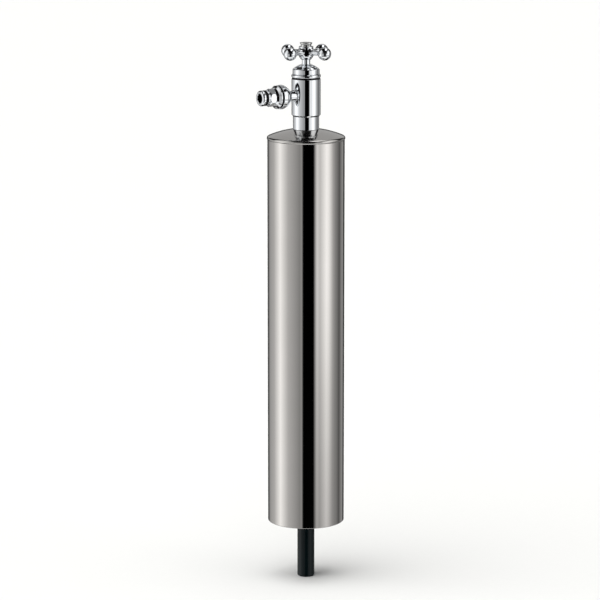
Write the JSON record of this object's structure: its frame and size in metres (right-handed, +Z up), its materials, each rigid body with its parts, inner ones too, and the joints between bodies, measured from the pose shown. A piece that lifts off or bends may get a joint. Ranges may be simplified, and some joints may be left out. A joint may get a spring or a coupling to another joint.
{
  "type": "garden standpipe",
  "caption": "Round polished stainless garden standpipe with a cross-handle tap on its cap, a push-fit hose nipple and a plastic supply pipe at its foot.",
  "frame": {"origin": "centre of the column's bottom edge, on the supply pipe's axis", "axes": "+Z up along the column, -Y towards the outlet, +X to the right of someone who faces the outlet from the front"},
  "size_m": [0.0812, 0.0966, 0.567],
  "materials": {
    "polished_stainless": "polished stainless tube",
    "satin_stainless": "satin spun stainless",
    "chrome_plate": "bright chrome plate on brass",
    "raw_brass": "turned, unplated",
    "spring_steel": "rolled",
    "pipe_pvc": "extruded impact-resistant PVC",
    "black_polyethylene": "moulded",
    "black_rubber": "moulded"
  },
  "bodies": {
    "root": {"column_tube": "polished_stainless", "column_cap": "satin_stainless", "foot_plug": "black_polyethylene", "riser_pipe": "pipe_pvc", "pipe_clip": "spring_steel", "tap_socket": "pipe_pvc", "socket_insert": "raw_brass", "tap_locknut": "raw_brass", "cap_washer": "spring_steel", "sleeve_gasket": "black_rubber", "tap_sleeve": "chrome_plate", "tap_body": "chrome_plate", "bonnet_gasket": "black_rubber", "bonnet": "chrome_plate", "packing_washer": "raw_brass", "gland_packing": "black_rubber", "gland_ring": "raw_brass", "gland_nut": "chrome_plate", "outlet_gasket": "black_rubber", "hose_nipple": "chrome_plate", "nipple_o_ring": "black_rubber"},
    "loose_valve": {"jumper_valve": "raw_brass", "jumper_washer": "black_rubber", "jumper_nut": "raw_brass"},
    "handle": {"spindle": "chrome_plate", "cross_handle": "chrome_plate", "handle_screw": "spring_steel", "index_button": "chrome_plate"}
  },
  "joints": [
    {"name": "valve_lift", "type": "slide", "parent": "root", "child": "loose_valve", "axis": [0, 0, 1], "range_m": [0, 0.003]},
    {"name": "handle_turn", "type": "hinge", "parent": "loose_valve", "child": "handle", "pos_m": [0, 0, 0.46], "axis": [0, 0, 1], "range_deg": [0, 540]}
  ],
  "couplings": [
    {"joint": "valve_lift", "follows": "handle_turn", "m_per_rad": 0.0003183}
  ]
}
